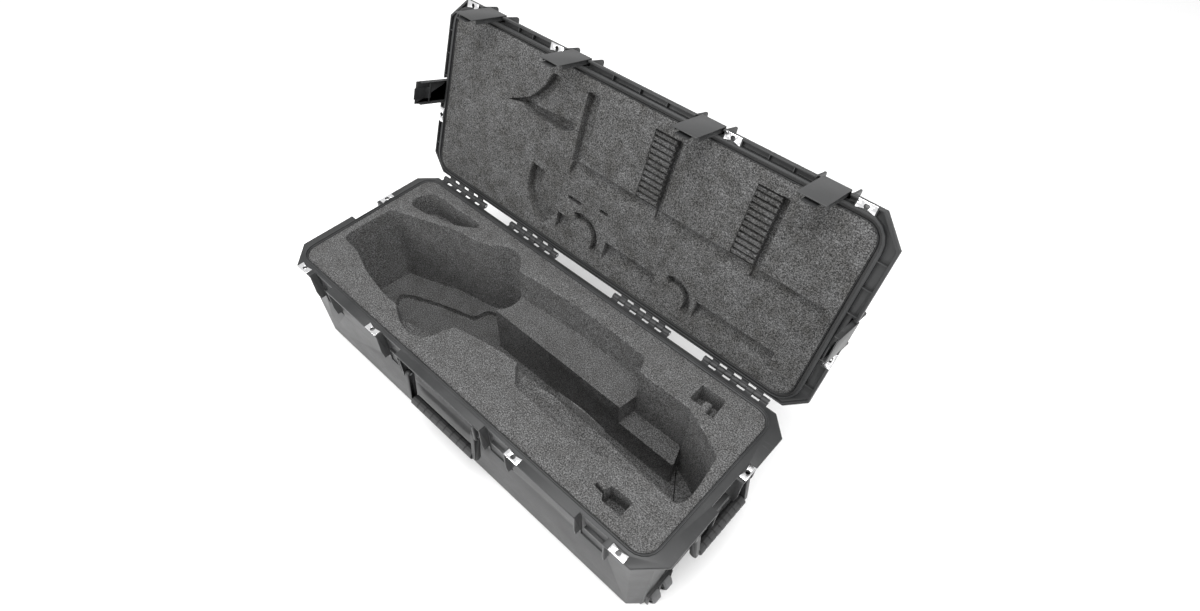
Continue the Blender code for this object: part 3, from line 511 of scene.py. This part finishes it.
# %% Outline helpers
FOAM_CORNER = 0.030
low_block, high_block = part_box("base_foam_front_left")[0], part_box("base_foam_back_right")[1]
FOAM_LEFT, FOAM_FRONT, FOAM_BOTTOM = low_block
FOAM_RIGHT, FOAM_BACK, FOAM_TOP = high_block


def arc(centre, radius, start, end, steps):
    """Points on an arc, with the angles in degrees."""
    turns = [math.radians(start + (end - start) * step / steps) for step in range(steps + 1)]
    return [(centre[0] + radius * math.cos(a), centre[1] + radius * math.sin(a)) for a in turns]


def softened(corners, radius, steps=6):
    """The outline through these corners, each one rounded."""
    points = []
    for number, place_here in enumerate(corners):
        corner = Vector(place_here)
        before = Vector(corners[number - 1]) - corner
        after = Vector(corners[(number + 1) % len(corners)]) - corner
        reach = min(radius, before.length * 0.45, after.length * 0.45)
        start = corner + before.normalized() * reach
        end = corner + after.normalized() * reach
        for step in range(steps + 1):
            t = step / steps
            points.append(start.lerp(corner, t).lerp(corner.lerp(end, t), t)[:])
    return points


def shifted(points, amount):
    """The outline moved outwards by amount, or inwards if it is negative."""
    area = sum(a[0] * b[1] - b[0] * a[1] for a, b in zip(points, points[1:] + points[:1]))
    hand = 1 if area > 0 else -1
    moved = []
    for number, here in enumerate(points):
        before = Vector(here) - Vector(points[number - 1])
        after = Vector(points[(number + 1) % len(points)]) - Vector(here)
        sides = [Vector((edge.y, -edge.x)).normalized() for edge in (before, after) if edge.length > 1e-7]
        normal = sum(sides, Vector((0, 0))).normalized() * hand
        reach = amount / max(0.6, abs(normal.dot(sides[0]))) if sides else 0
        moved.append((here[0] + normal.x * reach, here[1] + normal.y * reach))
    return moved


def band(offset, steps=10):
    """A rounded oblong at one even distance outside the foam's sides."""
    radius = FOAM_CORNER + offset
    middles = (
        (FOAM_RIGHT - FOAM_CORNER, FOAM_FRONT + FOAM_CORNER),
        (FOAM_RIGHT - FOAM_CORNER, FOAM_BACK - FOAM_CORNER),
        (FOAM_LEFT + FOAM_CORNER, FOAM_BACK - FOAM_CORNER),
        (FOAM_LEFT + FOAM_CORNER, FOAM_FRONT + FOAM_CORNER),
    )
    points = []
    for number, middle in enumerate(middles):
        points += arc(middle, radius, 90 * number - 90, 90 * number, steps)
    return points


def loft(sections):
    """A closed solid through outlines with the same number of points, each at its own height."""
    shape = bmesh.new()
    add_loft(shape, sections)
    return shape


def add_loft(shape, sections):
    loops = [[shape.verts.new((x, y, z)) for x, y in outline] for outline, z in sections]
    count = len(loops[0])
    for lower, upper in zip(loops, loops[1:]):
        for a in range(count):
            b = (a + 1) % count
            shape.faces.new((lower[a], lower[b], upper[b], upper[a]))
    shape.faces.new(loops[0][::-1])
    shape.faces.new(loops[-1])


print("foam block:", round(FOAM_RIGHT - FOAM_LEFT, 3), "by", round(FOAM_BACK - FOAM_FRONT, 3))

# %% Cutters for foam
LIP = 0.0024
FILLET = 0.0035
PROUD = 0.012


def add_hollow(shape, outline, face, depth, up=1, lip=LIP, fillet=FILLET):
    """A cutter with a flared mouth and a rounded floor. up is 1 for a hollow that goes down."""
    sections = [(shifted(outline, lip), face + up * PROUD), (shifted(outline, lip), face)]
    for turn in (30, 60, 90):
        out = lip * (1 - math.sin(math.radians(turn)))
        sunk = lip * (1 - math.cos(math.radians(turn)))
        sections.append((shifted(outline, out), face - up * sunk))
    floor = -up * depth
    sections.append((outline, floor + up * fillet))
    sections.append((shifted(outline, -fillet * 0.3), floor + up * fillet * 0.3))
    sections.append((shifted(outline, -fillet), floor))
    add_loft(shape, sections)


def add_rod(shape, start, end, radius, sides=48):
    """A round bar along X."""
    middle = (Vector(start) + Vector(end)) / 2
    turned = Matrix.Translation(middle) @ Matrix.Rotation(math.radians(90), 4, "Y")
    length = (Vector(end) - Vector(start)).length
    bmesh.ops.create_cone(
        shape, cap_ends=True, segments=sides, radius1=radius, radius2=radius, depth=length, matrix=turned
    )


def carved(name, block, cutters):
    """The block less its cutters, one Boolean each."""
    made = loose_object(name, block)
    helpers = []
    for number, cutter in enumerate(cutters):
        bmesh.ops.recalc_face_normals(cutter, faces=cutter.faces)
        helper = loose_object(f"{name}_cutter_{number}", cutter)
        step = made.modifiers.new(helper.name, "BOOLEAN")
        step.operation = "DIFFERENCE"
        step.solver = "MANIFOLD"
        step.object = helper
        helpers.append(helper)
    settled(made)
    for helper in helpers:
        discard(helper)
    shape = bmesh.new()
    shape.from_mesh(made.data)
    discard(made)
    return shape


print("foam cutters ready")

# %% [markdown]
# Each hollow in the base is drawn as an outline seen from above, in metres from the middle of the foam.
# An outline has only the corners that the shape needs, and `softened` rounds them afterwards. The
# telescope's tube lies in the tub, its fork and legs lie in the long slot, and the small pockets hold
# accessories.

# %% Outlines of the hollows in the base
TUB = [
    (-0.445, -0.08), (-0.446, -0.022), (-0.442, 0.044), (-0.37, 0.068), (-0.311, 0.092),
    (-0.234, 0.107), (-0.21, 0.112), (-0.169, 0.143), (-0.133, 0.142), (-0.112, 0.12),
    (-0.102, 0.104), (-0.1, 0.085), (-0.106, 0.062), (-0.118, 0.046), (-0.118, -0.06),
    (-0.104, -0.099), (-0.215, -0.118), (-0.258, -0.117), (-0.329, -0.105), (-0.39, -0.084),
]
SLOT = [
    (-0.122, 0.046), (0.364, 0.046), (0.349, 0.087), (0.392, 0.068), (0.436, 0.047), (0.444, 0.002),
    (0.448, -0.035), (0.446, -0.056), (0.434, -0.053), (0.343, -0.05), (0.216, -0.04),
    (0.098, -0.047), (0.018, -0.054), (-0.021, -0.06), (-0.086, -0.076), (-0.122, -0.078),
]
PLATFORM = [
    (-0.122, 0.043), (-0.118, 0.112), (-0.107, 0.109), (-0.019, 0.117), (0.067, 0.122),
    (0.153, 0.122), (0.222, 0.119), (0.235, 0.086), (0.243, 0.043),
]
SHELF = [
    (0.228, 0.043), (0.234, 0.0865), (0.35, 0.0885), (0.366, 0.043),
]
FRONT_LEDGE = [
    (0.058, -0.043), (0.062, -0.056), (0.092, -0.087), (0.145, -0.089), (0.208, -0.091),
    (0.284, -0.092), (0.294, -0.081), (0.35, -0.074), (0.354, -0.065), (0.44, -0.066),
    (0.447, -0.045),
]
BULGE = [
    (-0.215, -0.11), (-0.204, -0.124), (-0.171, -0.14), (-0.133, -0.145), (-0.104, -0.127),
    (-0.097, -0.099), (-0.086, -0.074), (-0.1, -0.07), (-0.15, -0.09),
]
TUB_FLOOR = [
    (-0.405, -0.015), (-0.376, 0.005), (-0.345, 0.018), (-0.305, 0.034), (-0.265, 0.047),
    (-0.222, 0.06), (-0.215, 0.095), (-0.16, 0.118), (-0.118, 0.095), (-0.122, 0.05),
    (-0.122, -0.06), (-0.135, -0.09), (-0.25, -0.095), (-0.36, -0.075),
]
SIDE_POCKET = [
    (-0.428, 0.082), (-0.436, 0.112), (-0.414, 0.141), (-0.266, 0.146), (-0.262, 0.134),
    (-0.3, 0.108), (-0.382, 0.086),
]
BACK_POCKET = [
    (0.334, 0.106), (0.334, 0.144), (0.384, 0.144), (0.388, 0.1), (0.372, 0.1), (0.372, 0.121),
    (0.358, 0.121), (0.358, 0.106),
]
FRONT_POCKET = [
    (0.324, -0.131), (0.324, -0.124), (0.342, -0.127), (0.346, -0.113), (0.389, -0.111),
    (0.389, -0.142), (0.35, -0.142), (0.344, -0.133),
]
print("hollows in the base: 10")

# %% [markdown]
# The hollows are cut in layers. Two cutters that overlap can't share one mesh, because the Boolean then
# can't tell inside from outside, so each layer holds only cutters that stay apart.

# %% The base foam
FACE = FOAM_TOP - RIM
WIDE_ROUND, TIGHT_ROUND, POCKET_ROUND = 0.012, 0.008, 0.014
TUB_DEPTH, TUB_FLOOR_DEPTH, BULGE_DEPTH = 0.205, 0.219, 0.045
SLOT_DEPTH, PLATFORM_DEPTH, SHELF_DEPTH, LEDGE_DEPTH = 0.206, 0.082, 0.135, 0.030
SIDE_DEPTH, BACK_DEPTH, FRONT_DEPTH = 0.062, 0.045, 0.048
sections = [(band(-0.004), FOAM_BOTTOM - RIM), (band(0.0), FOAM_BOTTOM - RIM + 0.004)]
sections += [(band(0.0), FACE - 0.0016), (band(-0.0006), FACE - 0.0004), (band(-0.0018), FACE)]
block = loft(sections)
LAYERS = (
    ((softened(TUB, WIDE_ROUND), TUB_DEPTH), (SHELF, SHELF_DEPTH)),
    ((softened(SLOT, TIGHT_ROUND), SLOT_DEPTH),),
    ((softened(PLATFORM, TIGHT_ROUND), PLATFORM_DEPTH),),
    (
        (softened(TUB_FLOOR, WIDE_ROUND), TUB_FLOOR_DEPTH),
        (softened(SIDE_POCKET, POCKET_ROUND), SIDE_DEPTH),
    ),
    ((softened(BULGE, WIDE_ROUND), BULGE_DEPTH),),
)
cutters = []
for layer in LAYERS:
    cutter = bmesh.new()
    for outline, depth in layer:
        add_hollow(cutter, outline, FACE, depth)
    cutters.append(cutter)
ledge = bmesh.new()
add_hollow(ledge, softened(FRONT_LEDGE, TIGHT_ROUND), FACE, LEDGE_DEPTH, fillet=0.0015)
cutters.append(ledge)
pockets = bmesh.new()
add_hollow(pockets, BACK_POCKET, FACE, BACK_DEPTH, lip=0.0012, fillet=0.0010)
add_hollow(pockets, FRONT_POCKET, FACE, FRONT_DEPTH, lip=0.0012, fillet=0.0010)
cutters.append(pockets)
WELL_TALL, WELL_ROOM = 0.110, 0.0052
wells = bmesh.new()
for label in ("front", "rear"):
    low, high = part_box(f"{label}_wheel_carrier")
    size = ((high.x - low.x) * 2 + 0.012, high.y - low.y + 0.010, WELL_TALL)
    middle = (high.x + 0.002, (low.y + high.y) / 2, high.z + WELL_ROOM - WELL_TALL / 2 - RIM)
    bmesh.ops.create_cube(wells, matrix=Matrix.Translation(middle) @ Matrix.Diagonal((*size, 1)))
cutters.append(wells)
shape = carved("base_foam_block", block, cutters)
base_foam = place("base_foam_block", shape, BASE_FOAM, "base", "closed_cell_foam", lift)
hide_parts(*[node for node in frame["nodes"] if node.startswith("base_foam_")])
print("base foam:", len(base_foam.data.polygons), "faces")

# %% [markdown]
# The lid's foam is cut in the same way, but its recesses are shallow and have other forms: half-round
# channels, curls that a finger lifts parts out with, and two stair-like racks whose ridges stay
# standing.

# %% The lid foam
LID_FACE = 0.0014
LID_BLOCK_DEPTH = 0.0575
block = loft([
    (band(-0.0018), LID_FACE),
    (band(-0.0006), LID_FACE + 0.0004),
    (band(0.0), LID_FACE + 0.0016),
    (band(0.0), LID_BLOCK_DEPTH - 0.004),
    (band(-0.003), LID_BLOCK_DEPTH),
])
STAIR_STARTS = (0.055, 0.262)
STAIR_WIDTH = 0.046
STAIR_GUTTER = 0.014
STAIR_LOW, STAIR_HIGH = -0.143, 0.006
STAIR_STEPS = 14
BLADE = [(-0.293, -0.054), (-0.236, -0.080), (-0.206, -0.112), (-0.190, -0.145), (-0.168, -0.143)]
BLADE += [(-0.190, -0.098), (-0.225, -0.068)]
SHAFT = [(-0.262, -0.064), (-0.240, -0.071), (-0.120, -0.078), (-0.115, -0.064), (-0.140, -0.053)]
SHAFT += [(-0.230, -0.054)]


def oblong(x_low, x_high, y_low, y_high, radius=0.004):
    return softened([(x_low, y_low), (x_high, y_low), (x_high, y_high), (x_low, y_high)], radius, 4)


def stair_profile():
    """A saw-tooth floor in (y, z): a level tread, a riser, then a slope down to the next tread."""
    pitch = (STAIR_HIGH - STAIR_LOW) / STAIR_STEPS
    points = [(STAIR_HIGH, -0.01), (STAIR_LOW, -0.01)]
    for number in range(STAIR_STEPS):
        start = STAIR_LOW + number * pitch
        points += [(start, 0.0120), (start + pitch * 0.30, 0.0120)]
        points += [(start + pitch * 0.40, 0.0050), (start + pitch * 0.50, 0.0042)]
        points.append((start + pitch * 0.96, 0.0056))
    return points


def add_slab_along_x(shape, profile, x_low, x_high):
    near = [shape.verts.new((x_low, y, z)) for y, z in profile]
    far = [shape.verts.new((x_high, y, z)) for y, z in profile]
    shape.faces.new(near)
    shape.faces.new(far)
    for a in range(len(profile)):
        b = (a + 1) % len(profile)
        shape.faces.new((near[a], near[b], far[b], far[a]))


def lid_hollow(shape, outline, depth, lip=0.0020):
    add_hollow(shape, outline, LID_FACE, depth, up=-1, lip=lip, fillet=0.0015)


first = bmesh.new()
lid_hollow(first, softened(BLADE, 0.008), 0.018)
lid_hollow(first, oblong(-0.102, -0.072, -0.144, -0.008), 0.019)
for start in STAIR_STARTS:
    add_slab_along_x(first, stair_profile(), start, start + STAIR_WIDTH)
arch = arc((-0.122, 0.070), 0.076, 100, 205, 20) + arc((-0.115, 0.062), 0.048, 205, 85, 20)
lid_hollow(first, arch, 0.020)
shaft_cut = bmesh.new()
lid_hollow(shaft_cut, softened(SHAFT, 0.004), 0.022)
channels = bmesh.new()
add_rod(channels, (-0.100, 0.0, -0.002), (0.446, 0.0, -0.002), 0.0165)
for start, end in ((-0.104, -0.074), (0.024, 0.148), (0.244, 0.408)):
    add_rod(channels, (start, 0.120, -0.002), (end, 0.120, -0.002), 0.0185)
slots = bmesh.new()
lid_hollow(slots, oblong(-0.089, -0.055, 0.057, 0.065, 0.002), 0.014, 0.001)
lid_hollow(slots, oblong(-0.009, 0.011, 0.047, 0.054, 0.002), 0.014, 0.001)
gutters = bmesh.new()
for start in STAIR_STARTS:
    side = start + STAIR_WIDTH - 0.001
    lid_hollow(gutters, oblong(side, side + STAIR_GUTTER, STAIR_LOW, STAIR_HIGH + 0.004, 0.003), 0.020)
curls = bmesh.new()
for centre, radius in ((-0.042, 0.034), (0.192, 0.028)):
    curl = arc((centre, 0.126), radius + 0.014, 20, -120, 18) + arc((centre, 0.126), radius, -120, 20, 18)
    lid_hollow(curls, curl, 0.018, 0.0012)
shape = carved("lid_foam_block", block, [first, shaft_cut, channels, slots, gutters, curls])
lid_foam = place("lid_foam_block", shape, LID_FOAM, "lid", "closed_cell_foam", lid_space)
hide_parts("lid_foam")
print("lid foam:", len(lid_foam.data.polygons), "faces")

# %% [markdown]
# ## Ribs in the lid's channel
# Outside its seal the lid's rim has an open channel, stiffened by thin cross ribs between the latches.
# All the ribs of a side are one shape, so Geometry Nodes set a rib on every point of a small cloud of
# points, and the rib's sizes are inputs of the tree. Changing one number then changes every rib.

# %% The rib tree
RIB_SIZES = ("Size X", "Size Y", "Size Z")
rib_tree = bpy.data.node_groups.new("channel_ribs", "GeometryNodeTree")
rib_tree.interface.new_socket("Geometry", in_out="INPUT", socket_type="NodeSocketGeometry")
rib_inputs = {}
for label in RIB_SIZES:
    socket = rib_tree.interface.new_socket(label, in_out="INPUT", socket_type="NodeSocketFloat")
    rib_inputs[label] = socket.identifier
rib_tree.interface.new_socket("Geometry", in_out="OUTPUT", socket_type="NodeSocketGeometry")
given, result, size, block, spread, real, paint = (
    rib_tree.nodes.new(kind)
    for kind in (
        "NodeGroupInput", "NodeGroupOutput", "ShaderNodeCombineXYZ", "GeometryNodeMeshCube",
        "GeometryNodeInstanceOnPoints", "GeometryNodeRealizeInstances", "GeometryNodeSetMaterial",
    )
)
for label, axis in zip(RIB_SIZES, "XYZ"):
    rib_tree.links.new(given.outputs[label], size.inputs[axis])
rib_tree.links.new(size.outputs["Vector"], block.inputs["Size"])
rib_tree.links.new(given.outputs["Geometry"], spread.inputs["Points"])
rib_tree.links.new(block.outputs["Mesh"], spread.inputs["Instance"])
rib_tree.links.new(spread.outputs["Instances"], real.inputs["Geometry"])
rib_tree.links.new(real.outputs["Geometry"], paint.inputs["Geometry"])
rib_tree.links.new(paint.outputs["Geometry"], result.inputs["Geometry"])
paint.inputs["Material"].default_value = SHELL
print("rib tree:", len(rib_tree.nodes), "nodes")


# %% Ribs along the channel
RIB_ROUNDING = 0.0003


def add_ribs(name, points, sizes, body, matrix):
    """One piece with a rounded rib centred on each point."""
    cloud = bmesh.new()
    for point in points:
        cloud.verts.new(point)
    made = loose_object(name + "_points", cloud)
    step = made.modifiers.new("ribs", "NODES")
    step.node_group = rib_tree
    for label, value in zip(RIB_SIZES, sizes):
        step[rib_inputs[label]] = value
    settled(made)
    bevel = made.modifiers.new("rounded_edges", "BEVEL")
    bevel.width = RIB_ROUNDING
    bevel.segments = EDGE_STEPS
    settled(made)
    shape = bmesh.new()
    shape.from_mesh(made.data)
    discard(made)
    return place(name, shape, SHELL, body, "charcoal_shell", matrix)


RIB_THICK, RIB_TALL, RIB_MIDDLE = 0.0016, 0.0068, 0.0048
FRONT_RIBS = (-0.410, -0.360, -0.295, -0.257, -0.058, 0.003, 0.061, 0.261, 0.305, 0.360, 0.410)
END_RIBS = (-0.123, -0.077, -0.030, 0.066, 0.122)
CHANNEL_FRONT, CHANNEL_LEFT, CHANNEL_RIGHT = (0.0125, 0.0215), (0.0120, 0.0195), (0.0120, 0.0285)
middle = FOAM_FRONT - sum(CHANNEL_FRONT) / 2
width = CHANNEL_FRONT[1] - CHANNEL_FRONT[0] + 0.0004
points = [(x, middle, RIB_MIDDLE) for x in FRONT_RIBS]
add_ribs("lid_front_ribs", points, (RIB_THICK, width, RIB_TALL), "lid", lid_space)
for name, edge, hand, channel in (
    ("lid_left_ribs", FOAM_LEFT, -1, CHANNEL_LEFT), ("lid_right_ribs", FOAM_RIGHT, 1, CHANNEL_RIGHT)
):
    middle = edge + hand * sum(channel) / 2
    width = channel[1] - channel[0] + 0.0004
    points = [(middle, y, RIB_MIDDLE) for y in END_RIBS]
    add_ribs(name, points, (width, RIB_THICK, RIB_TALL), "lid", lid_space)
print("channel ribs:", len(FRONT_RIBS) + 2 * len(END_RIBS))

# %% [markdown]
# ## Floor
# The floor isn't part of the case.

# %% Floor
floor_shape = bmesh.new()
bmesh.ops.create_grid(floor_shape, x_segments=8, y_segments=8, size=6.0)
floor_mesh = bpy.data.meshes.new("floor")
floor_shape.to_mesh(floor_mesh)
floor_shape.free()
floor = bpy.data.objects.new("floor", floor_mesh)
bpy.context.scene.collection.objects.link(floor)
pale, tree, shader = new_material("pale_floor_finish")
cloud = noise_node(tree, object_coordinates(tree), 1.5, 3.0)
tree.links.new(ramp_node(tree, cloud, [(0.3, 0.90), (0.7, 0.94)]), shader.inputs["Base Color"])
shader.inputs["Roughness"].default_value = 0.9
floor.data.materials.append(pale)
print("floor ready")

# %% [markdown]
# The last cell updates the view layer and ends the script.

# %% Finish
bpy.context.view_layer.update()
